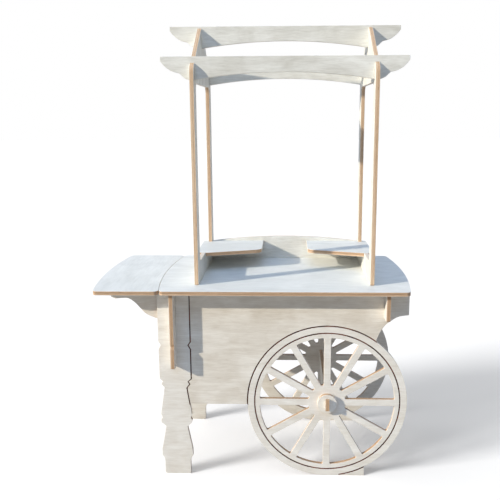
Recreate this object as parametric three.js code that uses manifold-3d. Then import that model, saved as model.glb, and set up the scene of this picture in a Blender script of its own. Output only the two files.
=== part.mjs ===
// Candy buffet cart made of slotted plywood boards that go together without tools.
// Each long side is one board, cut as a turned leg, an apron and a spoked wheel that doesn't turn.
// Two end boards and an axle board join the sides. On them stand a table, a side shelf on hooked arms,
// and a canopy of two gabled frames, three notched beams, a back board and two corner shelves.
// Millimetres. +X is to the right of somebody who faces the front, +Y to the back, +Z up.

import * as THREE from 'three';
import { mergeVertices } from 'three/addons/utils/BufferGeometryUtils.js';
import Module from 'manifold-3d';

const wasm = await Module();
wasm.setup();

// Boards, joints and cuts
const plyThickness = 18;
const jointGap = 0.3;
const cutOverrun = 5;
const engravingWidth = 4.5;
const engravingDepth = 2.5;
const cutterRadius = 6;
const blindTabHeight = 9;
const tabLength = 100;
const tabSpacing = 500;

// Body
const bodyDepth = 545;
const legOffset = 471;
const legWidth = 138;
const legToeRadius = 8;
const apronBottomHeight = 333;
const apronReach = 525.5;
const coveWidth = 136;
const coveTopHeight = 740;

// Wheels
const wheelRadius = 345;
const wheelOffset = 186;
const rimWidth = 53;
const rimLineInset = 31.5;
const spokeCount = 12;
const spokeWidth = 29;
const spokeTipRadius = 8;
const wheelFootReach = 167;
const hubDiscRadius = 42;

// End boards and axle board
const endBracketReach = 56;
const leftEndHeight = 330;
const bracketNotchDrop = 232;
const bracketNotchWidth = 28;
const bracketNotchDepth = 10;
const rightEndOffset = 431;
const rightEndHeight = 115;
const axleBoardHeight = 84;
const axleTabHeight = 46;
const axleTabReach = 38;

// Table
const tableHeight = 860.5;
const tableCornerLength = 1028.5;
const tableDepth = 700;
const tableEndBulge = 30;
const tableCornerRadius = 20;

// Side shelf
const shelfWidth = 275;
const shelfEdgeGap = 1.5;
const armReach = 260;
const armDepth = 127;
const armNoseDepth = 32;
const armTabLength = 80;
const hookDepth = 22;
const hookLength = 22;
const shelfLift = 24;
const liftHeadroom = 3;

// Canopy
const canopySpan = 725;
const canopyDepth = 573;
const canopySetback = 24;
const eavesRise = 896;
const ridgeRise = 1085.5;
const eavesRadius = 40;
const frameToeRadius = 8;
const postWidth = 62;
const sillRise = 90;
const windowTopRise = 839;
const windowCornerRadius = 30;
const canopyTabDepth = 28;
const frameTabSpacing = 300;
const beamLength = 1003;
const beamDepth = 92;
const beamArch = 30;
const beamTipDepth = 18;
const eavesBeamInset = 30;
const eavesBeamRise = 849;
const ridgeBeamRise = 995.5;
const backBoardInset = 13;
const backBoardRise = 87.5;
const backBoardArch = 25;

// Corner shelves
const cornerShelfLength = 255;
const cornerShelfDepth = 297;
const cornerShelfSlant = 77;
const cornerShelfOverhang = 24;
const cornerShelfFrontLength = 13;
const cornerShelfRadius = 40;
const cornerShelfHornRadius = 20;

// How finely round stretches are drawn
const wheelSteps = 96;
const hubSteps = 48;
const arcSteps = 16;
const curveSteps = 12;
const cornerSteps = 4;

// The turned leg's edge from the top down: height as a share of the leg's height, half width as a
// share of the leg's greatest half width.
const legProfileShares = [
  [0.731, 1], [0.714, 0.855], [0.692, 1], [0.531, 1], [0.517, 0.797], [0.502, 0.899], [0.483, 0.71],
  [0.336, 0.986], [0.315, 0.899], [0.304, 1], [0.289, 0.957], [0.269, 0.681], [0.137, 0.986],
  [0.104, 0.986], [0.089, 0.855], [0.068, 0.826],
];

// The apron's cove from its top to the wheel, in shares of its width and its height.
const coveShares = [[0, 0], [0.32, 0.06], [0.55, 0.22], [0.735, 0.4], [0.875, 0.65], [1, 1]];

// The lower edge of a shelf arm from its nose to the end board, in shares of its reach and depth.
const armEdgeShares = [
  [0.07, 0.32], [0.25, 0.29], [0.33, 0.35], [0.42, 0.5], [0.53, 0.77], [0.61, 0.89], [0.74, 1],
];

// The two hollows under a beam's horn, outwards from the frame, in shares of the horn's length and
// the beam's depth.
const hornInnerShares = [[0.06, 0], [0.2, 0.08], [0.3, 0.2], [0.38, 0.29]];
const hornOuterShares = [[0.47, 0.32], [0.63, 0.38], [0.8, 0.52], [0.92, 0.67]];

// Heights and places that follow
const panelTop = tableHeight - plyThickness - jointGap;
const panelFront = -bodyDepth / 2;
const panelBack = bodyDepth / 2;
const panelInside = bodyDepth / 2 - plyThickness;
const legAxis = -legOffset;
const wheelCentre = new THREE.Vector2(wheelOffset, wheelRadius);
const tableBottom = tableHeight - plyThickness;
const canopyFloor = tableHeight + jointGap;
const canopyFront = panelFront + canopySetback;
const canopyBack = canopyFront + canopyDepth;
const canopyMiddle = (canopyFront + canopyBack) / 2;
const frameMiddle = canopySpan / 2 + plyThickness / 2;
const backBoardFront = canopyBack - backBoardInset - plyThickness;
const cornerShelfBack = backBoardFront - jointGap;
const cornerShelfFront = cornerShelfBack - cornerShelfDepth;
const slotWidth = plyThickness + 2 * jointGap;
const armMiddle = panelInside - jointGap - plyThickness / 2;
const armWall = legAxis - plyThickness / 2;
const armTip = armWall - armReach;
const armBottom = panelTop - armDepth;
const armTabLeft = armTip + armNoseDepth;
const armTabRight = armTabLeft + armTabLength;
const hookSeatHeight = armBottom + hookDepth;

const quarterTurn = Math.PI / 2;
const fullTurn = Math.PI * 2;

function point(x, y) {
  return new THREE.Vector2(x, y);
}

// Points along an arc, both ends included.
function arcPoints(centre, radius, fromAngle, toAngle, steps) {
  return Array.from({ length: steps + 1 }, (_, step) => {
    const angle = fromAngle + ((toAngle - fromAngle) * step) / steps;
    return point(centre.x + radius * Math.cos(angle), centre.y + radius * Math.sin(angle));
  });
}

// Points along a smooth curve through the given ones.
function curvePoints(points) {
  return new THREE.SplineCurve(points).getPoints(curveSteps);
}

// Points of the shallow arc between two ends that bulges to the left of the way it runs.
function bulgePoints(start, end, bulge) {
  const chord = end.clone().sub(start);
  const halfChord = chord.length() / 2;
  const radius = (halfChord * halfChord + bulge * bulge) / (2 * bulge);
  const left = point(-chord.y, chord.x).normalize();
  const centre = start.clone().add(end).multiplyScalar(0.5).addScaledVector(left, bulge - radius);
  const middleAngle = left.angle();
  const halfAngle = Math.asin(halfChord / radius);
  return arcPoints(centre, radius, middleAngle + halfAngle, middleAngle - halfAngle, arcSteps);
}

// A closed outline with its corners rounded: each entry is a corner and the radius there.
function roundedOutline(corners) {
  return corners.flatMap(([corner, radius], index) => {
    if (!radius) {
      return [corner];
    }
    const before = corners[(index + corners.length - 1) % corners.length][0];
    const after = corners[(index + 1) % corners.length][0];
    const back = before.clone().sub(corner).normalize();
    const ahead = after.clone().sub(corner).normalize();
    const halfAngle = Math.acos(back.dot(ahead)) / 2;
    const inwards = back.clone().add(ahead).normalize();
    const centre = corner.clone().addScaledVector(inwards, radius / Math.sin(halfAngle));
    const trim = radius / Math.tan(halfAngle);
    const start = corner.clone().addScaledVector(back, trim).sub(centre);
    const end = corner.clone().addScaledVector(ahead, trim).sub(centre);
    const turn = Math.atan2(start.cross(end), start.dot(end));
    return arcPoints(centre, radius, start.angle(), start.angle() + turn, cornerSteps);
  });
}

function rectanglePoints(left, right, bottom, top) {
  return [point(left, bottom), point(right, bottom), point(right, top), point(left, top)];
}

function mirrored(points) {
  return points.map(({ x, y }) => point(-x, y)).reverse();
}

// A slab with the given outline and holes, between two levels of its thickness.
function slab(outline, holes, from, to) {
  const shape = new THREE.Shape(outline);
  shape.holes = holes.map((hole) => new THREE.Path(hole));
  const geometry = new THREE.ExtrudeGeometry(shape, { depth: to - from, bevelEnabled: false });
  geometry.translate(0, 0, from);
  geometry.deleteAttribute('normal');
  geometry.deleteAttribute('uv');
  const { attributes, index } = mergeVertices(geometry);
  const vertProperties = attributes.position.array;
  return new wasm.Manifold(new wasm.Mesh({ numProp: 3, vertProperties, triVerts: index.array }));
}

function board(outline, holes = []) {
  return slab(outline, holes, 0, plyThickness);
}

function throughCut(outline) {
  return slab(outline, [], -cutOverrun, plyThickness + cutOverrun);
}

// Joints are cut through a board, and tabs grow from its edge, as rectangles in its plane.
function cutSlots(blank, rectangles) {
  return rectangles.reduce((cut, sides) => cut.subtract(throughCut(rectanglePoints(...sides))), blank);
}

function addTabs(blank, rectangles) {
  return rectangles.reduce((whole, sides) => whole.add(board(rectanglePoints(...sides))), blank);
}

// Pockets are cut from the underside, only as deep as the short tabs that they take.
function cutPockets(blank, rectangles) {
  const depth = blindTabHeight + jointGap;
  return rectangles.reduce(
    (cut, sides) => cut.subtract(slab(rectanglePoints(...sides), [], -cutOverrun, depth)),
    blank,
  );
}

// A slot that takes a board's thickness, centred on a line, from one end to the other.
function slotAcross(centre, bottom, top) {
  return [centre - slotWidth / 2, centre + slotWidth / 2, bottom, top];
}

function material(colour, roughness) {
  return new THREE.MeshStandardMaterial({ color: colour, roughness, metalness: 0, flatShading: true });
}

function boardMesh(name, solid, colour, roughness) {
  const { vertProperties, triVerts } = solid.getMesh();
  const geometry = new THREE.BufferGeometry();
  geometry.setAttribute('position', new THREE.BufferAttribute(vertProperties, 3));
  geometry.setIndex(new THREE.BufferAttribute(triVerts, 1));
  const mesh = new THREE.Mesh(geometry, material(colour, roughness));
  mesh.name = name;
  return mesh;
}

// A board is cut flat and then placed. One that lies keeps its own x and y.
function lay(mesh, bottom) {
  mesh.position.z = bottom;
  return mesh;
}

// One that stands across the cart has its y upright and its upper face to the front.
function standAcross(mesh, front) {
  mesh.rotation.x = quarterTurn;
  mesh.position.y = front + plyThickness;
  return mesh;
}

// One that stands front to back has its x along the cart's +Y and its y upright.
function standLengthwise(mesh, left) {
  mesh.rotation.set(quarterTurn, quarterTurn, 0);
  mesh.position.x = left;
  return mesh;
}

// Side panels

function legEdge(side) {
  const profile = legProfileShares.map(([height, width]) =>
    point(legAxis + (side * width * legWidth) / 2, height * panelTop));
  return [point(legAxis + (side * legWidth) / 2, panelTop), ...profile];
}

function legToe(side) {
  const toeShare = legProfileShares.at(-1)[1];
  const toe = legAxis + (side * toeShare * legWidth) / 2;
  const inside = point(toe - side * legToeRadius, legToeRadius);
  return side > 0
    ? arcPoints(inside, legToeRadius, 0, -quarterTurn, cornerSteps)
    : arcPoints(inside, legToeRadius, Math.PI, 3 * quarterTurn, cornerSteps);
}

// The height of the wheel's edge above or below its axle at a distance to the side of it.
function wheelHalfChord(distance) {
  return Math.sqrt(wheelRadius * wheelRadius - distance * distance);
}

// An arc about the axle, as finely drawn as the wheel itself.
function axleArc(radius, fromAngle, toAngle) {
  const steps = Math.ceil((wheelSteps * Math.abs(toAngle - fromAngle)) / fullTurn);
  return arcPoints(wheelCentre, radius, fromAngle, toAngle, steps);
}

// Directions from the axle to where the wheel's edge leaves the cove, the foot and the apron.
const coveFoot = apronReach - coveWidth - wheelOffset;
const coveAngle = Math.atan2(wheelHalfChord(coveFoot), coveFoot);
const footAngle = -Math.acos(wheelFootReach / wheelRadius);
const apronAngle = Math.PI - Math.asin((apronBottomHeight - wheelRadius) / wheelRadius);

function coveEdge() {
  const coveHeight = coveTopHeight - wheelRadius - wheelHalfChord(coveFoot);
  return curvePoints(coveShares.map(([across, down]) =>
    point(apronReach - across * coveWidth, coveTopHeight - down * coveHeight)));
}

// The leg's right edge in two stretches: beside the apron, down to the crotch under it, and below.
function legRightEdge() {
  const edge = legEdge(1);
  const lower = edge.filter(({ y }) => y < apronBottomHeight);
  const upper = edge.slice(0, edge.length - lower.length);
  const above = upper.at(-1);
  const below = lower[0];
  const crotch = above.clone().lerp(below, (above.y - apronBottomHeight) / (above.y - below.y));
  return { upper: [...upper, crotch], lower };
}

function sidePanelOutline() {
  const { upper, lower } = legRightEdge();
  return [
    ...legEdge(-1).reverse(),
    point(apronReach, panelTop),
    ...coveEdge(),
    ...axleArc(wheelRadius, coveAngle, footAngle).slice(1),
    point(wheelOffset + wheelFootReach, 0),
    ...axleArc(wheelRadius, -quarterTurn, apronAngle - fullTurn),
    upper.at(-1),
    ...lower,
    ...legToe(1),
    ...legToe(-1).reverse(),
  ];
}

// The gap between two spokes: a rounder tip beside the hub, and corners as round as the cutter.
function spokeGap(middleAngle) {
  const halfPitch = Math.PI / spokeCount;
  const offset = spokeWidth / 2 + cutterRadius;
  const tipCentre = (spokeWidth / 2 + spokeTipRadius) / Math.sin(halfPitch);
  const rimRadius = wheelRadius - rimWidth;
  const cornerDistance = rimRadius - cutterRadius;
  const cornerAngle = halfPitch - Math.asin(offset / cornerDistance);
  const sideAngle = quarterTurn + halfPitch;
  const tip = point(tipCentre, 0);
  const corner = (side) =>
    point(cornerDistance * Math.cos(cornerAngle), side * cornerDistance * Math.sin(cornerAngle));
  const outline = [
    ...arcPoints(tip, spokeTipRadius, sideAngle, fullTurn - sideAngle, cornerSteps),
    ...arcPoints(corner(-1), cutterRadius, -sideAngle, -cornerAngle, cornerSteps),
    ...arcPoints(point(0, 0), rimRadius, -cornerAngle, cornerAngle, cornerSteps).slice(1, -1),
    ...arcPoints(corner(1), cutterRadius, cornerAngle, sideAngle, cornerSteps),
  ];
  return outline.map((place) => place.rotateAround(point(0, 0), middleAngle).add(wheelCentre));
}

function spokeGaps() {
  const pitch = fullTurn / spokeCount;
  return Array.from({ length: spokeCount }, (_, index) => spokeGap((index + 0.5) * pitch));
}

// A groove as a band of even width, centred on an arc about the axle.
function arcBand(radius, fromAngle, toAngle) {
  return [
    ...axleArc(radius + engravingWidth / 2, fromAngle, toAngle),
    ...axleArc(radius - engravingWidth / 2, toAngle, fromAngle),
  ];
}

function axleCircle(radius) {
  return axleArc(radius, 0, fullTurn).slice(1);
}

// The groove down the leg's right edge, which shows where the leg ends and the apron starts.
function legBand() {
  const { upper } = legRightEdge();
  const crotch = upper.at(-1);
  const line = [
    point(upper[0].x, panelTop + cutOverrun),
    ...upper,
    point(crotch.x, crotch.y - engravingWidth),
  ];
  const beside = (distance) => line.map(({ x, y }) => point(x + distance, y));
  return [...beside(engravingWidth / 2), ...beside(-engravingWidth / 2).reverse()];
}

// The engraved lines are cut into the show face, which lies between the two levels.
function engraved(blank, from, to) {
  const runOut = cutOverrun / wheelRadius;
  const footStart = Math.acos(1 - engravingWidth / wheelRadius) - quarterTurn;
  const rimLineRadius = wheelRadius - rimLineInset;
  const rimLine = slab(
    axleCircle(rimLineRadius + engravingWidth / 2),
    [axleCircle(rimLineRadius - engravingWidth / 2)],
    from,
    to,
  );
  const bands = [
    legBand(),
    arcBand(wheelRadius, coveAngle - runOut, apronAngle + runOut),
    arcBand(wheelRadius, footStart, footAngle + runOut),
  ];
  return bands.reduce((cut, band) => cut.subtract(slab(band, [], from, to)), blank.subtract(rimLine));
}

function axleSlot() {
  const halfHeight = axleTabHeight / 2 + jointGap;
  return slotAcross(wheelOffset, wheelRadius - halfHeight, wheelRadius + halfHeight);
}

function sidePanelBlank() {
  const blank = board(sidePanelOutline(), spokeGaps());
  const slots = [
    slotAcross(legAxis, crossHeight(leftEndHeight), panelTop + cutOverrun),
    slotAcross(rightEndOffset, crossHeight(rightEndHeight), panelTop + cutOverrun),
    axleSlot(),
  ];
  return addTabs(cutSlots(blank, slots), longTabs(panelTop - cutOverrun, panelTop + blindTabHeight));
}

// Two tabs, or the pockets for them, evenly about the table's middle.
function longTabs(bottom, top, gap = 0) {
  return [-1, 1].map((side) => {
    const middle = (side * tabSpacing) / 2;
    return [middle - tabLength / 2 - gap, middle + tabLength / 2 + gap, bottom, top];
  });
}

function frontPanel() {
  const solid = engraved(sidePanelBlank(), plyThickness - engravingDepth, plyThickness + cutOverrun);
  return standAcross(boardMesh('front_panel', solid, 0xd8d3c8, 0.62), panelFront);
}

function rearPanel() {
  const solid = engraved(sidePanelBlank(), -cutOverrun, engravingDepth);
  return standAcross(boardMesh('rear_panel', solid, 0xd5d0c5, 0.62), panelInside);
}

// End boards, which cross the side panels and stand out past them as brackets under the table

// An end board and a side panel are each cut to half the end board's height where they cross.
function crossHeight(endHeight) {
  return panelTop - endHeight / 2;
}

// An end board's outline, made of a front half with its bracket and the same half turned round.
function endBoardOutline(endHeight, notch) {
  const slotFront = panelFront - jointGap;
  const slotBack = panelFront + plyThickness + jointGap;
  const slotTop = crossHeight(endHeight) + jointGap;
  const nose = panelFront - endBracketReach;
  const bottom = panelTop - endHeight;
  const frontHalf = [
    point(nose, panelTop),
    ...notch,
    ...bracketToe(nose, bottom),
    point(slotFront, bottom),
    point(slotFront, slotTop),
    point(slotBack, slotTop),
    point(slotBack, bottom),
  ];
  return [...frontHalf, ...mirrored(frontHalf)];
}

function bracketToe(nose, bottom) {
  const centre = point(nose + cutterRadius, bottom + cutterRadius);
  return arcPoints(centre, cutterRadius, Math.PI, 3 * quarterTurn, cornerSteps);
}

function endBoardTab() {
  return [-tabLength / 2, tabLength / 2, panelTop - cutOverrun, panelTop + blindTabHeight];
}

function leftEndPanel() {
  const nose = panelFront - endBracketReach;
  const notchMiddle = panelTop - bracketNotchDrop;
  const notch = [
    point(nose, notchMiddle + bracketNotchWidth / 2),
    point(nose + bracketNotchDepth, notchMiddle),
    point(nose, notchMiddle - bracketNotchWidth / 2),
  ];
  const armSlots = [-1, 1].map((side) =>
    slotAcross(side * armMiddle, hookSeatHeight, panelTop + cutOverrun));
  const outline = endBoardOutline(leftEndHeight, notch);
  const solid = addTabs(cutSlots(board(outline), armSlots), [endBoardTab()]);
  const mesh = boardMesh('left_end_panel', solid, 0xcfc8ba, 0.64);
  return standLengthwise(mesh, legAxis - plyThickness / 2);
}

function rightEndPanel() {
  const solid = addTabs(board(endBoardOutline(rightEndHeight, [])), [endBoardTab()]);
  const mesh = boardMesh('right_end_panel', solid, 0xcdc6b8, 0.64);
  return standLengthwise(mesh, rightEndOffset - plyThickness / 2);
}

// Axle board and the hub discs on its ends

function axleBoard() {
  const shoulder = panelInside - jointGap;
  const tip = panelBack + axleTabReach;
  const tabTop = wheelRadius + axleTabHeight / 2;
  const tabBottom = wheelRadius - axleTabHeight / 2;
  const bottom = wheelRadius - axleBoardHeight / 2;
  const body = rectanglePoints(-shoulder, shoulder, bottom, bottom + axleBoardHeight);
  const solid = addTabs(board(body), [[-tip, tip, tabBottom, tabTop]]);
  return standLengthwise(boardMesh('axle_board', solid, 0xc9c1b2, 0.64), wheelOffset - plyThickness / 2);
}

function hubDisc(name, front) {
  const outline = arcPoints(wheelCentre, hubDiscRadius, 0, fullTurn, hubSteps).slice(1);
  const solid = cutSlots(board(outline), [axleSlot()]);
  return standAcross(boardMesh(name, solid, 0xe2dcd0, 0.6), front);
}

// Table and side shelf

function tableEnd(shift) {
  const front = point(tableCornerLength / 2 + shift, -tableDepth / 2);
  const back = point(tableCornerLength / 2 + shift, tableDepth / 2);
  return bulgePoints(back, front, tableEndBulge);
}

// The table's and the shelf's own corners are rounded, and no other point of their outlines is.
function softened(outline, corners) {
  return roundedOutline(outline.map((place) => [place, corners.includes(place) ? tableCornerRadius : 0]));
}

// An end arc without the points that its corners' rounding takes up.
function trimmedArc(points, radius) {
  const first = points[0];
  const last = points.at(-1);
  const clear = points.slice(1, -1).filter((place) =>
    place.distanceTo(first) > radius && place.distanceTo(last) > radius);
  return [first, ...clear, last];
}

function tableTop() {
  const right = trimmedArc(tableEnd(0), tableCornerRadius);
  const left = mirrored(right);
  const outline = softened([...right, ...left], [right[0], right.at(-1), left[0], left.at(-1)]);
  const panelPockets = [panelFront, panelInside].flatMap((front) =>
    longTabs(front - jointGap, front + plyThickness + jointGap, jointGap));
  const endPockets = [legAxis, rightEndOffset].map((middle) =>
    slotAcross(middle, -tabLength / 2 - jointGap, tabLength / 2 + jointGap));
  const frameSlots = [-1, 1].flatMap((side) =>
    frameTabs(jointGap).map(([from, to]) => slotAcross(side * frameMiddle, from, to)));
  const backSlots = longTabs(backBoardFront - jointGap, backBoardFront + plyThickness + jointGap, jointGap);
  const pocketed = cutPockets(board(outline), [...panelPockets, ...endPockets]);
  const solid = cutSlots(pocketed, [...frameSlots, ...backSlots]);
  return lay(boardMesh('table_top', solid, 0xdfe3e4, 0.5), tableBottom);
}

function sideShelfTop() {
  const outer = mirrored(trimmedArc(tableEnd(shelfWidth), tableCornerRadius));
  const inner = mirrored(trimmedArc(tableEnd(shelfEdgeGap), tableCornerRadius)).reverse();
  const outline = softened([...outer, ...inner], [outer[0], outer.at(-1), inner[0], inner.at(-1)]);
  const pockets = [-1, 1].map((side) => {
    const middle = side * armMiddle;
    return [armTabLeft - jointGap, armTabRight + jointGap, middle - slotWidth / 2, middle + slotWidth / 2];
  });
  return lay(boardMesh('side_shelf_top', cutPockets(board(outline), pockets), 0xdfe3e4, 0.5), tableBottom);
}

// Shelf arms: each one hangs on the left end board by a hook that drops behind it

// Where the table's edge passes over an arm, which stays low enough under it to be lifted.
function tableEdgeAt(distance) {
  const halfDepth = tableDepth / 2;
  const radius = (halfDepth * halfDepth + tableEndBulge * tableEndBulge) / (2 * tableEndBulge);
  return tableCornerLength / 2 + tableEndBulge - radius + Math.sqrt(radius * radius - distance * distance);
}

function shelfArm(name, front) {
  const step = -tableEdgeAt(armMiddle) - shelfEdgeGap - cutterRadius;
  const lowTop = panelTop - shelfLift - liftHeadroom;
  const wallInside = legAxis + plyThickness / 2 + jointGap;
  const wallOutside = armWall - jointGap;
  const seat = hookSeatHeight + jointGap;
  const lowerEdge = curvePoints(armEdgeShares.map(([out, down]) =>
    point(armTip + out * armReach, panelTop - down * armDepth)));
  const outline = [
    point(armTip, panelTop),
    point(armTip, panelTop - armNoseDepth),
    ...lowerEdge,
    point(wallOutside, armBottom),
    point(wallOutside, seat),
    point(wallInside, seat),
    point(wallInside, armBottom),
    point(wallInside + hookLength, armBottom),
    point(wallInside + hookLength, lowTop),
    point(step, lowTop),
    point(step, panelTop),
  ];
  const solid = addTabs(board(outline), [
    [armTabLeft, armTabRight, panelTop - cutOverrun, panelTop + blindTabHeight],
  ]);
  return standAcross(boardMesh(name, solid, 0xcdc7bb, 0.62), front);
}

// Canopy frames

function frameTabs(gap) {
  return [-1, 1].map((side) => {
    const middle = canopyMiddle + (side * frameTabSpacing) / 2;
    return [middle - tabLength / 2 - gap, middle + tabLength / 2 + gap];
  });
}

function beamPlaces() {
  return [
    ['front_beam', canopyFront + eavesBeamInset, canopyFloor + eavesBeamRise],
    ['ridge_beam', canopyMiddle - plyThickness / 2, canopyFloor + ridgeBeamRise],
    ['rear_beam', canopyBack - eavesBeamInset - plyThickness, canopyFloor + eavesBeamRise],
  ];
}

function canopyFrameSolid() {
  const eaves = canopyFloor + eavesRise;
  const ridge = canopyFloor + ridgeRise;
  const sill = canopyFloor + sillRise;
  const windowTop = canopyFloor + windowTopRise;
  const windowFront = canopyFront + postWidth;
  const windowBack = canopyBack - postWidth;
  const outline = roundedOutline([
    [point(canopyFront, canopyFloor), frameToeRadius],
    [point(canopyBack, canopyFloor), frameToeRadius],
    [point(canopyBack, eaves), eavesRadius],
    [point(canopyMiddle, ridge), 0],
    [point(canopyFront, eaves), eavesRadius],
  ]);
  const window = roundedOutline([
    [point(windowFront, sill), windowCornerRadius],
    [point(windowBack, sill), 0],
    [point(windowBack, windowTop), windowCornerRadius],
    [point(windowFront, windowTop), windowCornerRadius],
  ]);
  const seatHeight = sill - plyThickness - jointGap;
  const shelfSeat = [cornerShelfFront - jointGap, windowBack, seatHeight, sill + cutOverrun];
  const beamSlots = beamPlaces().map(([, front, bottom]) =>
    slotAcross(front + plyThickness / 2, bottom + beamDepth / 2, ridge + cutOverrun));
  const tabs = frameTabs(0).map(([from, to]) =>
    [from, to, canopyFloor - canopyTabDepth, canopyFloor + cutOverrun]);
  return addTabs(cutSlots(board(outline, [window]), [shelfSeat, ...beamSlots]), tabs);
}

function canopyFrame(name, side) {
  const mesh = boardMesh(name, canopyFrameSolid(), 0xd9d4ca, 0.6);
  return standLengthwise(mesh, side * frameMiddle - plyThickness / 2);
}

// Beams: all three are cut alike, and each drops over the frames with slots from below

function beamSolid() {
  const frameFace = canopySpan / 2;
  const hornStart = frameFace + plyThickness;
  const hornLength = beamLength / 2 - hornStart;
  const hornPoint = ([out, up]) => point(hornStart + out * hornLength, up * beamDepth);
  const rightHorn = [
    ...curvePoints(hornInnerShares.map(hornPoint)),
    ...curvePoints(hornOuterShares.map(hornPoint)),
    point(beamLength / 2, beamDepth - beamTipDepth),
    point(beamLength / 2, beamDepth),
  ];
  const arch = bulgePoints(point(-frameFace, 0), point(frameFace, 0), beamArch);
  const outline = [...arch, ...rightHorn, ...mirrored(rightHorn)];
  const slots = [-1, 1].map((side) =>
    slotAcross(side * frameMiddle, -cutOverrun, beamDepth / 2 + jointGap));
  return cutSlots(board(outline), slots);
}

function beam([name, front, bottom]) {
  const mesh = standAcross(boardMesh(name, beamSolid(), 0xdfdbd2, 0.58), front);
  mesh.position.z = bottom;
  return mesh;
}

// Back board between the frames' rear posts

function backBoard() {
  const halfLength = canopySpan / 2 - jointGap;
  const top = canopyFloor + backBoardRise;
  const arch = bulgePoints(point(-halfLength, top), point(halfLength, top), backBoardArch);
  const outline = [point(-halfLength, canopyFloor), ...arch, point(halfLength, canopyFloor)];
  const tabs = longTabs(canopyFloor - canopyTabDepth, canopyFloor + cutOverrun);
  const solid = addTabs(board(outline), tabs);
  return standAcross(boardMesh('back_board', solid, 0xdcdad4, 0.6), backBoardFront);
}

// Corner shelves: each sinks flush into its frame's sill and is notched for the rear post

function cornerShelf(name, side) {
  const inner = canopySpan / 2 - cornerShelfLength;
  const frameFace = canopySpan / 2;
  const outer = frameFace + plyThickness + cornerShelfOverhang;
  const outline = roundedOutline([
    [point(inner, cornerShelfBack), 0],
    [point(inner, cornerShelfFront + cornerShelfSlant), cornerShelfRadius],
    [point(frameFace - cornerShelfFrontLength, cornerShelfFront), 0],
    [point(outer, cornerShelfFront), cornerShelfHornRadius],
    [point(outer, cornerShelfBack), cornerShelfHornRadius],
  ]);
  const postFront = canopyBack - postWidth;
  const postSlot = slotAcross(frameMiddle, postFront - jointGap, cornerShelfBack + cutOverrun);
  const rightSolid = cutSlots(board(outline), [postSlot]);
  const solid = side > 0 ? rightSolid : rightSolid.mirror([1, 0, 0]);
  return lay(boardMesh(name, solid, 0xdde2e6, 0.5), canopyFloor + sillRise - plyThickness);
}

function candyCart() {
  const cart = new THREE.Group();
  cart.add(
    frontPanel(),
    rearPanel(),
    leftEndPanel(),
    rightEndPanel(),
    axleBoard(),
    hubDisc('front_hub_disc', panelFront - jointGap - plyThickness),
    hubDisc('rear_hub_disc', panelBack + jointGap),
    tableTop(),
    sideShelfTop(),
    shelfArm('front_shelf_arm', -armMiddle - plyThickness / 2),
    shelfArm('rear_shelf_arm', armMiddle - plyThickness / 2),
    canopyFrame('left_canopy_frame', -1),
    canopyFrame('right_canopy_frame', 1),
    ...beamPlaces().map(beam),
    backBoard(),
    cornerShelf('left_corner_shelf', -1),
    cornerShelf('right_corner_shelf', 1),
  );
  // The origin is on the floor, under the middle of the cart and its side shelf together.
  cart.position.x = shelfWidth / 2;
  return cart;
}

export default candyCart();
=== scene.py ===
# Candy buffet cart: a display cart of whitewashed plywood boards that slot together without tools.
# Metres, in the cart's own frame: +X to the right of somebody who faces its front, +Y to its back,
# +Z up, and the floor at zero.

import math

import bmesh
import bpy
from mathutils import Matrix, Vector


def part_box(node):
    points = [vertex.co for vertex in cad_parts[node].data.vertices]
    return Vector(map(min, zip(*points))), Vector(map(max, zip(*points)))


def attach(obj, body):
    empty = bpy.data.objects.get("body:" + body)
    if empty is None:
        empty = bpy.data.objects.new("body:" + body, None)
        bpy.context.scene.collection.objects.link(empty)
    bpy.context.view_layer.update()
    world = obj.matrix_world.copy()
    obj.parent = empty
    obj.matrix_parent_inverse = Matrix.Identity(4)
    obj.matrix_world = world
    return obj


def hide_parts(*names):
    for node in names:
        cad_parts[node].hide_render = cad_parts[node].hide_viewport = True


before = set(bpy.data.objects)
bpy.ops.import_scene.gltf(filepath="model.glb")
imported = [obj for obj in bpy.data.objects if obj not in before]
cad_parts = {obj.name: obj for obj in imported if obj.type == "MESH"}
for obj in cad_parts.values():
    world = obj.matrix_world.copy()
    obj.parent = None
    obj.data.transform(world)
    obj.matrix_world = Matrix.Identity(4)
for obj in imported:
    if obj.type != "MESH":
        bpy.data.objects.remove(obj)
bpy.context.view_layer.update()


# Side panels
# Each long side is one board of birch plywood, cut as a turned leg, an apron and a spoked wheel. Its
# faces have a thin whitewash, thinner yet on the apron's outer face. The cut edges are raw and show
# the plies, and the lines of the leg and the wheel are burnt into the outer face.

waviness = 0.8


def join(tree, socket, source):
    """A socket takes another node's output or a plain value."""
    if isinstance(source, bpy.types.NodeSocket):
        tree.links.new(source, socket)
    else:
        socket.default_value = source


def reckon(tree, operation, *terms):
    """A sum, product or other reckoning of outputs and plain values."""
    node = tree.nodes.new("ShaderNodeMath")
    node.operation = operation
    for socket, term in zip(node.inputs, terms):
        join(tree, socket, term)
    return node.outputs["Value"]


def weigh(tree, *parts):
    """The sum of several values, each times its own weight."""
    total = 0
    for value, weight in parts:
        total = reckon(tree, "MULTIPLY_ADD", value, weight, total)
    return total


def spread(tree, value, low, high):
    """A value drawn out so that low becomes 0 and high becomes 1."""
    node = tree.nodes.new("ShaderNodeMapRange")
    join(tree, node.inputs["Value"], value)
    node.inputs["From Min"].default_value = low
    node.inputs["From Max"].default_value = high
    return node.outputs["Result"]


def streaks(tree, board, swings, detail):
    """Cloudiness with so many swings to the metre along the grain and across it, and so many
    through the board's thickness."""
    mapping = tree.nodes.new("ShaderNodeMapping")
    join(tree, mapping.inputs["Vector"], board)
    mapping.inputs["Scale"].default_value = swings
    noise = tree.nodes.new("ShaderNodeTexNoise")
    join(tree, noise.inputs["Vector"], mapping.outputs["Vector"])
    noise.inputs["Scale"].default_value = 1
    noise.inputs["Detail"].default_value = detail
    noise.inputs["Distortion"].default_value = waviness
    return noise.outputs["Fac"]


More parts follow.
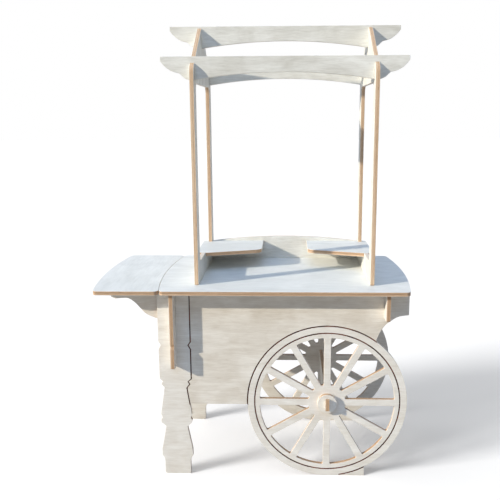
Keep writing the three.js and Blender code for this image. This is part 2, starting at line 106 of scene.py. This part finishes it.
def shades(tree, share, stops):
    """A colour that runs through the given stops, each a share and a colour."""
    ramp = tree.nodes.new("ShaderNodeValToRGB")
    join(tree, ramp.inputs["Fac"], share)
    elements = ramp.color_ramp.elements
    while len(elements) < len(stops):
        elements.new(1)
    for element, (position, colour) in zip(elements, stops):
        element.position = position
        element.color = (*colour, 1)
    return ramp.outputs["Color"]


def blend(tree, share, first, second):
    """The first colour where the share is 0 and the second where it is 1."""
    node = tree.nodes.new("ShaderNodeMixRGB")
    join(tree, node.inputs["Fac"], share)
    join(tree, node.inputs["Color1"], first)
    join(tree, node.inputs["Color2"], second)
    return node.outputs["Color"]


def board_coordinates(tree):
    """Where a point is on its board: along the grain, across it, and its share of the way through."""
    node = tree.nodes.new("ShaderNodeAttribute")
    node.attribute_type = "GEOMETRY"
    node.attribute_name = "board"
    return node.outputs["Vector"]


def raise_grain(tree, shader, height, depth):
    """Fine relief on a shader, where a height of 1 stands so many metres proud."""
    bump = tree.nodes.new("ShaderNodeBump")
    join(tree, bump.inputs["Height"], height)
    bump.inputs["Distance"].default_value = depth
    join(tree, shader.inputs["Normal"], bump.outputs["Normal"])


figure_swings = 4, 30, 7
flame_swings = 17, 130, 7
fibre_swings = 30, 700, 7
fleck_swings = 60, 1200, 7
coat_swings = 7, 11, 7
figure_weight = 0.19
flame_weight = 0.17
fibre_weight = 0.26
fleck_weight = 0.14
coat_weight = 0.24
fleck_hollow = 0.5


def veneer_group():
    """Birch veneer under thin whitewash. Bareness says how little the coat hides the wood: more in
    the broad figure, the narrower flames, the fibres and the short dark flecks, and where the coat
    itself is thin. Fibre is the height of the grain."""
    group = bpy.data.node_groups.new("birch veneer", "ShaderNodeTree")
    group.interface.new_socket("Board", in_out="INPUT", socket_type="NodeSocketVector")
    for name in ("Bareness", "Fibre"):
        group.interface.new_socket(name, in_out="OUTPUT", socket_type="NodeSocketFloat")
    start = group.nodes.new("NodeGroupInput")
    end = group.nodes.new("NodeGroupOutput")
    board = start.outputs["Board"]
    figure = spread(group, streaks(group, board, figure_swings, detail=6), low=0.32, high=0.7)
    flame = spread(group, streaks(group, board, flame_swings, detail=4), low=0.34, high=0.7)
    fibre = streaks(group, board, fibre_swings, detail=3)
    flecks = spread(group, streaks(group, board, fleck_swings, detail=1), low=0.66, high=0.76)
    coat = spread(group, streaks(group, board, coat_swings, detail=5), low=0.34, high=0.68)
    bareness = weigh(
        group,
        (figure, figure_weight),
        (flame, flame_weight),
        (fibre, fibre_weight),
        (flecks, fleck_weight),
        (coat, coat_weight),
    )
    join(group, end.inputs["Bareness"], bareness)
    join(group, end.inputs["Fibre"], reckon(group, "MULTIPLY_ADD", flecks, -fleck_hollow, fibre))
    return group


veneer = veneer_group()
full_cover = 0.12
bare_dullness = 0.2


def washed_face(name, wash, wood, sheen_roughness, grain_depth):
    """Whitewash over birch veneer: where the coat is thin, the wood's colour comes through."""
    finish = bpy.data.materials.new(name)
    finish.use_nodes = True
    tree = finish.node_tree
    shader = tree.nodes["Principled BSDF"]
    grain = tree.nodes.new("ShaderNodeGroup")
    grain.node_tree = veneer
    join(tree, grain.inputs["Board"], board_coordinates(tree))
    colour = shades(tree, grain.outputs["Bareness"], [(full_cover, wash), (1, wood)])
    join(tree, shader.inputs["Base Color"], colour)
    dullness = reckon(tree, "MULTIPLY_ADD", grain.outputs["Bareness"], bare_dullness, sheen_roughness)
    join(tree, shader.inputs["Roughness"], dullness)
    raise_grain(tree, shader, grain.outputs["Fibre"], grain_depth)
    return finish


ply_count = 9
ply_swings = 1.7, 1.7, 3.7
patch_swings = 23, 23, 4
end_fibre_swings = 320, 320, 60
void_swings = 31, 31, 11
core_place = 0.6
ply_weight = 0.34
end_grain_weight = 0.14
core_weight = 0.16
patch_weight = 0.14
end_fibre_weight = 0.14
glue_weight = 0.2
void_weight = 0.6


def edge_pattern(tree):
    """How dark a cut edge is, and how high. Its plies differ in tone: every second one is darker,
    and so are those near the core. Between them run thin glue lines, and the darker ones have a
    few voids."""
    board = board_coordinates(tree)
    apart = tree.nodes.new("ShaderNodeSeparateXYZ")
    join(tree, apart.inputs["Vector"], board)
    through = apart.outputs["Z"]
    plies = reckon(tree, "MULTIPLY", through, ply_count)
    ply = reckon(tree, "FLOOR", plies)
    inside_ply = tree.nodes.new("ShaderNodeCombineXYZ")
    join(tree, inside_ply.inputs["X"], apart.outputs["X"])
    join(tree, inside_ply.inputs["Y"], apart.outputs["Y"])
    join(tree, inside_ply.inputs["Z"], ply)

    ply_cloud = streaks(tree, inside_ply.outputs["Vector"], ply_swings, detail=1)
    ply_tone = spread(tree, ply_cloud, low=0.3, high=0.7)
    end_grain = reckon(tree, "FLOORED_MODULO", ply, 2)
    off_core = reckon(tree, "ABSOLUTE", reckon(tree, "SUBTRACT", through, core_place))
    core = spread(tree, off_core, low=0.4, high=0.05)
    patches = spread(tree, streaks(tree, board, patch_swings, detail=3), low=0.3, high=0.7)
    fibres = streaks(tree, board, end_fibre_swings, detail=2)
    from_glue = reckon(tree, "PINGPONG", plies, 0.5)
    glue = spread(tree, from_glue, low=0.11, high=0.04)
    voids = spread(tree, streaks(tree, board, void_swings, detail=1), low=0.73, high=0.77)
    darkness = weigh(
        tree,
        (ply_tone, ply_weight),
        (end_grain, end_grain_weight),
        (core, core_weight),
        (patches, patch_weight),
        (fibres, end_fibre_weight),
        (glue, glue_weight),
        (reckon(tree, "MULTIPLY", voids, end_grain), void_weight),
    )
    return darkness, reckon(tree, "SUBTRACT", fibres, glue)


edge_shades = [
    (0.1, (0.83, 0.63, 0.43)),
    (0.4, (0.61, 0.40, 0.25)),
    (0.75, (0.33, 0.20, 0.11)),
    (1, (0.13, 0.07, 0.04)),
]
# Painted sheen: the pale tone a cut edge's colour moves towards when seen at a slant, and how far.
painted_sheen_colour = (0.89, 0.83, 0.75, 1)
painted_sheen_strength = 0.85
edge_roughness = 0.72
edge_relief = 0.00015


def raw_edge(name, fairness):
    """A cut plywood edge. Its colour is lifted towards pale where it is seen at a slant, a painted sheen,
    and the fairer the wood, the paler the plies."""
    finish = bpy.data.materials.new(name)
    finish.use_nodes = True
    tree = finish.node_tree
    shader = tree.nodes["Principled BSDF"]
    darkness, height = edge_pattern(tree)
    colour = shades(tree, reckon(tree, "SUBTRACT", darkness, fairness), edge_shades)
    # Painted sheen: the colour turns paler as the edge is seen more at a slant.
    slant = tree.nodes.new("ShaderNodeLayerWeight")
    slanting = spread(tree, slant.outputs["Facing"], low=0.6, high=0.85)
    painted_sheen = reckon(tree, "MULTIPLY", slanting, painted_sheen_strength)
    join(tree, shader.inputs["Base Color"], blend(tree, painted_sheen, colour, painted_sheen_colour))
    shader.inputs["Roughness"].default_value = edge_roughness
    raise_grain(tree, shader, height, edge_relief)
    return finish


char_swings = 13, 13, 12
char_shades = [(0.4, (0.045, 0.012, 0.008)), (0.65, (0.24, 0.075, 0.045))]
char_roughness = 0.9
char_gloss = 0.15


def burnt_line():
    """The floor and sides of a burnt groove: almost black, with red-brown stretches."""
    finish = bpy.data.materials.new("burnt line")
    finish.use_nodes = True
    tree = finish.node_tree
    shader = tree.nodes["Principled BSDF"]
    char = streaks(tree, board_coordinates(tree), char_swings, detail=5)
    join(tree, shader.inputs["Base Color"], shades(tree, char, char_shades))
    shader.inputs["Roughness"].default_value = char_roughness
    shader.inputs["Specular IOR Level"].default_value = char_gloss
    return finish


body_face = washed_face(
    "whitewashed face",
    wash=(0.93, 0.90, 0.85),
    wood=(0.58, 0.51, 0.42),
    sheen_roughness=0.5,
    grain_depth=0.0002,
)
apron_face = washed_face(
    "thinly washed face",
    wash=(0.90, 0.855, 0.785),
    wood=(0.49, 0.41, 0.31),
    sheen_roughness=0.52,
    grain_depth=0.0002,
)
body_edge = raw_edge("raw ply edge", fairness=0)
body_finishes = body_face, body_edge
apron_finishes = apron_face, body_edge
charred = burnt_line()

lengthwise, front_to_back, upright = 0, 1, 2
face_finish, edge_finish, line_finish, apron_finish = 0, 1, 2, 3
weld_distance = 0.00001
flat_angle = math.radians(1)


def sort_sides(shell, through, bottom, top, burnt_depth):
    """Sides in the board's two flat faces take the face's finish, walls deeper than a burnt line
    take the cut edge's, and all others take the line's."""
    for side in shell.faces:
        heights = [corner.co[through] for corner in side.verts]
        span = max(heights) - min(heights)
        if span > burnt_depth + weld_distance:
            side.material_index = edge_finish
        elif span < weld_distance and min(heights[0] - bottom, top - heights[0]) < weld_distance:
            side.material_index = face_finish
        else:
            side.material_index = line_finish


groove_flare = 0.0005
wall_limit = 0.5


def flare_grooves(shell, through):
    """The burnt grooves are a little wider at their mouths than at their floors."""
    shell.normal_update()
    for corner in shell.verts:
        finishes = {side.material_index for side in corner.link_faces}
        walls = [side.normal for side in corner.link_faces
                 if side.material_index == line_finish and abs(side.normal[through]) < wall_limit]
        if walls and face_finish in finishes and edge_finish not in finishes:
            corner.co -= sum(walls, Vector()).normalized() * groove_flare


def thin_apron(shell, through, outside):
    """The largest field between burnt lines on the outer face is the apron, and its thinner coat
    runs over it until lines or cut edges stop it."""
    outer = [side for side in shell.faces if side.material_index == face_finish
             and abs(side.verts[0].co[through] - outside) < weld_distance]
    waiting = [max(outer, key=lambda side: side.calc_area())]
    while waiting:
        side = waiting.pop()
        if side.material_index == face_finish:
            side.material_index = apron_finish
            waiting += [near for edge in side.edges for near in edge.link_faces]


arris_width = 0.001
arris_steps = 2
crease_angle = math.radians(50)


def ease_arrises(shell):
    """The arrises between the faces and the cut edges are sanded round and washed with the faces."""
    arrises = [edge for edge in shell.edges
               if {side.material_index for side in edge.link_faces}
               in ({face_finish, edge_finish}, {apron_finish, edge_finish})]
    eased = bmesh.ops.bevel(
        shell,
        geom=arrises,
        offset=arris_width,
        offset_type="OFFSET",
        segments=arris_steps,
        profile=0.5,
        affect="EDGES",
        material=-1,
    )
    for side in eased["faces"]:
        side.material_index = face_finish
    for side in shell.faces:
        side.smooth = True
    for edge in shell.edges:
        edge.smooth = edge.calc_face_angle() < crease_angle


def finish_board(node, body, finishes, grain, cut_at, burnt_depth=0):
    """A board's solid with its arrises eased and its finishes on: its face's and its cut edge's,
    and burnt lines where it has them. grain is the axis that the face veneer runs along, and cut_at
    is where along the sheet the board was cut, so that no two boards look alike."""
    low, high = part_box(node)
    axes = {lengthwise, front_to_back, upright}
    through = min(axes, key=lambda axis: high[axis] - low[axis])
    (across,) = axes - {through, grain}
    bottom, top = low[through], high[through]

    shell = bmesh.new()
    shell.from_mesh(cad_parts[node].data)
    bmesh.ops.remove_doubles(shell, verts=shell.verts, dist=weld_distance)
    bmesh.ops.dissolve_limit(shell, angle_limit=flat_angle, verts=shell.verts, edges=shell.edges)
    sort_sides(shell, through, bottom, top, burnt_depth)
    if burnt_depth:
        flare_grooves(shell, through)
        thin_apron(shell, through, outside=max(bottom, top, key=abs))
    ease_arrises(shell)

    mesh = bpy.data.meshes.new(node + "_board")
    shell.to_mesh(mesh)
    shell.free()
    board = mesh.attributes.new("board", "FLOAT_VECTOR", "POINT")
    for corner, place in zip(mesh.vertices, board.data):
        share = (corner.co[through] - bottom) / (top - bottom)
        place.vector = (corner.co[grain] + cut_at, corner.co[across], share)
    # In the order of the finishes' numbers: face, cut edge, burnt line and apron.
    for finish in (*finishes, charred, apron_face):
        mesh.materials.append(finish)
    piece = bpy.data.objects.new(node + "_board", mesh)
    bpy.context.collection.objects.link(piece)
    piece.modifiers.new("even shading", "WEIGHTED_NORMAL").keep_sharp = True
    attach(piece, body)
    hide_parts(node)


engraving_depth = 0.0025
finish_board("front_panel", "body", body_finishes, lengthwise,
             cut_at=0, burnt_depth=engraving_depth)
finish_board("rear_panel", "body", body_finishes, lengthwise,
             cut_at=3.1, burnt_depth=engraving_depth)


# End boards
# Two whitewashed boards cross the side panels in halving joints and stand out past them as brackets.
# Their veneer runs from front to back.

finish_board("left_end_panel", "body", body_finishes, front_to_back, cut_at=6.3)
finish_board("right_end_panel", "body", body_finishes, front_to_back, cut_at=8.2)


# Axle board and hub discs
# A plywood board on edge joins the two wheels. Its tabs pass through them and through the round
# discs on their outer faces, which only push on.

finish_board("axle_board", "body", body_finishes, front_to_back, cut_at=10.4)
finish_board("front_hub_disc", "front_hub", body_finishes, lengthwise, cut_at=11.5)
finish_board("rear_hub_disc", "rear_hub", body_finishes, lengthwise, cut_at=12.3)


# Table
# The worktop lies on the side panels and end boards, whose short tabs hold it from below. It is the
# same plywood with a second, smoother coat of white, whose cooler tint is partly its own and partly
# painted skylight.

worktop_face_with_sky_tint = washed_face(
    "worktop face",
    # Cooler than the body's wash: partly the coat's own tone, partly painted blue skylight.
    wash=(0.90, 0.90, 0.87),
    wood=(0.60, 0.60, 0.57),
    sheen_roughness=0.4,
    grain_depth=0.0001,
)
worktop_finishes = worktop_face_with_sky_tint, body_edge
finish_board("table_top", "body", worktop_finishes, lengthwise, cut_at=14.9)


# Side shelf
# A small board that follows the table's rounded end lies on two ogee arms, which hook behind the
# left end board, so it lifts off with them. Its veneer runs from front to back, and the arms' coat
# is as thin as the aprons'.

finish_board("side_shelf_top", "side_shelf", worktop_finishes, front_to_back, cut_at=17.2)
finish_board("front_shelf_arm", "side_shelf", apron_finishes, lengthwise, cut_at=18.6)
finish_board("rear_shelf_arm", "side_shelf", apron_finishes, lengthwise, cut_at=19.7)


# Canopy
# Two gabled frames with a window each stand in the table's slots by their tabs, and a low arched
# board closes the back between them. Their coat is paler and greyer than the body's, and their cut
# edges are fairer.

canopy_face = washed_face(
    "canopy face",
    wash=(0.93, 0.92, 0.87),
    wood=(0.44, 0.41, 0.34),
    sheen_roughness=0.48,
    grain_depth=0.0002,
)
canopy_finishes = canopy_face, raw_edge("fair ply edge", fairness=0.18)
finish_board("left_canopy_frame", "canopy", canopy_finishes, upright, cut_at=21.5)
finish_board("right_canopy_frame", "canopy", canopy_finishes, upright, cut_at=23.8)
finish_board("back_board", "canopy", canopy_finishes, lengthwise, cut_at=25.4)


# Beams
# Three arched boards with horned ends, two over the posts and one over the gables' peaks, are halved
# over the frames and lift straight off.

finish_board("front_beam", "eaves_front", canopy_finishes, lengthwise, cut_at=27.9)
finish_board("ridge_beam", "ridge", canopy_finishes, lengthwise, cut_at=30.2)
finish_board("rear_beam", "eaves_rear", canopy_finishes, lengthwise, cut_at=32.7)


# Corner shelves
# A small board in each back corner, coated like the table, rests in the frame's sill and is slotted
# round its rear post.

finish_board("left_corner_shelf", "left_shelf", worktop_finishes, lengthwise, cut_at=34.1)
finish_board("right_corner_shelf", "right_shelf", worktop_finishes, lengthwise, cut_at=35.6)


# Floor and backdrop
# A plain pale studio floor, which shows as white where it is lit and keeps the cart's shadow.

floor_reach = 40
floor_lift_share = 0.16
floor_shade = (0.89, 0.88, 0.87)
floor_bounce = (0.38, 0.38, 0.38)


def seen_directly(tree):
    """1 where a ray comes from the camera, a mirror or glass, and 0 where it only brings light."""
    path = tree.nodes.new("ShaderNodeLightPath")
    mirrored = reckon(tree, "MAXIMUM", path.outputs["Is Glossy Ray"], path.outputs["Is Transmission Ray"])
    return reckon(tree, "MAXIMUM", path.outputs["Is Camera Ray"], mirrored)


def pale_floor():
    """Matt paint, lifted towards white where it is seen, which throws little light on the cart."""
    finish = bpy.data.materials.new("pale floor")
    finish.use_nodes = True
    tree = finish.node_tree
    tree.nodes.remove(tree.nodes["Principled BSDF"])
    paint = tree.nodes.new("ShaderNodeBsdfDiffuse")
    seen = seen_directly(tree)
    join(tree, paint.inputs["Color"], shades(tree, seen, [(0, floor_bounce), (1, floor_shade)]))
    lift = tree.nodes.new("ShaderNodeEmission")
    join(tree, lift.inputs["Strength"], reckon(tree, "MULTIPLY", seen, floor_lift_share))
    both = tree.nodes.new("ShaderNodeAddShader")
    join(tree, both.inputs[0], paint.outputs["BSDF"])
    join(tree, both.inputs[1], lift.outputs["Emission"])
    join(tree, tree.nodes["Material Output"].inputs["Surface"], both.outputs["Shader"])
    return finish


def lay_floor():
    """One flat sheet at floor level, which isn't part of the cart."""
    sheet = bmesh.new()
    bmesh.ops.create_grid(sheet, x_segments=1, y_segments=1, size=floor_reach)
    mesh = bpy.data.meshes.new("studio_floor")
    sheet.to_mesh(mesh)
    sheet.free()
    mesh.materials.append(pale_floor())
    floor = bpy.data.objects.new("studio_floor", mesh)
    bpy.context.collection.objects.link(floor)
    return floor


floor = lay_floor()


# Light
# A warm key light from the left of the front, a cooler, wider one from above the front, a very wide
# blue one from straight above, and even light from all round. The floor takes two wide white lights
# in place of the first three, so that the cart's shadow on it is soft and grey.

key_travel = (2.05, 1, -0.99)
front_travel = (0.2, 0.8, -1.15)
overhead_travel = (0, 0.1, -1)
floor_fill_travel = (0.6, 0.2, -1)
warm_white = (1, 0.93, 0.79)
cool_white = (0.5, 0.7, 1)
sky_blue = (0.25, 0.53, 1)
haze_blue = (0.8, 0.88, 1)
plain_white = (1, 1, 1)


def floor_link(name, state):
    """Lets the lamps that are given it light the floor alone, or everything but the floor."""
    receivers = bpy.data.collections.new(name)
    receivers.objects.link(floor)
    receivers.collection_objects[0].light_linking.link_state = state
    return receivers


floor_only = floor_link("floor only", "INCLUDE")
all_but_floor = floor_link("all but the floor", "EXCLUDE")


def soft_light(name, receivers, travel, strength, degrees_wide, colour):
    """Light that travels the given way. At a strength of 1 it shows colours about as they are."""
    lamp = bpy.data.lights.new(name, "SUN")
    lamp.energy = strength * math.pi
    lamp.angle = math.radians(degrees_wide)
    lamp.color = colour
    light = bpy.data.objects.new(name, lamp)
    bpy.context.collection.objects.link(light)
    light.light_linking.receiver_collection = receivers
    x, y, z = travel
    light.rotation_euler = (math.acos(-z / math.hypot(x, y, z)), 0, math.atan2(-x, y))


soft_light("key", all_but_floor, key_travel, strength=1.26, degrees_wide=1.2, colour=warm_white)
soft_light("overhead", all_but_floor, overhead_travel, strength=0.24, degrees_wide=80, colour=sky_blue)
soft_light("front", all_but_floor, front_travel, strength=0.2, degrees_wide=36, colour=cool_white)
soft_light("floor key", floor_only, key_travel, strength=1.25, degrees_wide=18, colour=plain_white)
soft_light("floor fill", floor_only, floor_fill_travel, strength=0.38, degrees_wide=80, colour=plain_white)


def even_light(colour, strength):
    """Faint light from all round, with a backdrop that shows as white."""
    world = bpy.data.worlds.new("studio")
    bpy.context.scene.world = world
    world.use_nodes = True
    tree = world.node_tree
    around = tree.nodes["Background"]
    around.inputs["Color"].default_value = (*colour, 1)
    around.inputs["Strength"].default_value = strength
    backdrop = tree.nodes.new("ShaderNodeBackground")
    backdrop.inputs["Color"].default_value = (*plain_white, 1)
    backdrop.inputs["Strength"].default_value = 1
    choice = tree.nodes.new("ShaderNodeMixShader")
    join(tree, choice.inputs["Fac"], seen_directly(tree))
    join(tree, choice.inputs[1], around.outputs["Background"])
    join(tree, choice.inputs[2], backdrop.outputs["Background"])
    join(tree, tree.nodes["World Output"].inputs["Surface"], choice.outputs["Shader"])


even_light(haze_blue, strength=0.25)
bpy.context.scene.view_settings.view_transform = "Standard"


# Camera
# Where the photograph was taken from, worked out from the cart's straight edges.

camera_place = (0.1543, -2.8980, 1.5657)
camera_turn = -0.0318
camera_tilt = 0.1903
camera_roll = -0.0042
camera_sensor = 36
picture_pixels = 500
focal_pixels = 646.4
centre_pixel = (268.0, 240.4)


def place_camera():
    """A camera turned aside, then tilted down, then rolled, all by angles in radians."""
    lens = bpy.data.cameras.new("camera")
    lens.sensor_width = camera_sensor
    lens.lens = camera_sensor * focal_pixels / picture_pixels
    lens.shift_x = (picture_pixels / 2 - centre_pixel[0]) / picture_pixels
    lens.shift_y = (centre_pixel[1] - picture_pixels / 2) / picture_pixels
    camera = bpy.data.objects.new("camera", lens)
    bpy.context.collection.objects.link(camera)
    camera.matrix_world = (
        Matrix.Translation(camera_place)
        @ Matrix.Rotation(-camera_turn, 4, "Z")
        @ Matrix.Rotation(math.pi / 2 - camera_tilt, 4, "X")
        @ Matrix.Rotation(camera_roll, 4, "Z")
    )
    bpy.context.scene.camera = camera


place_camera()
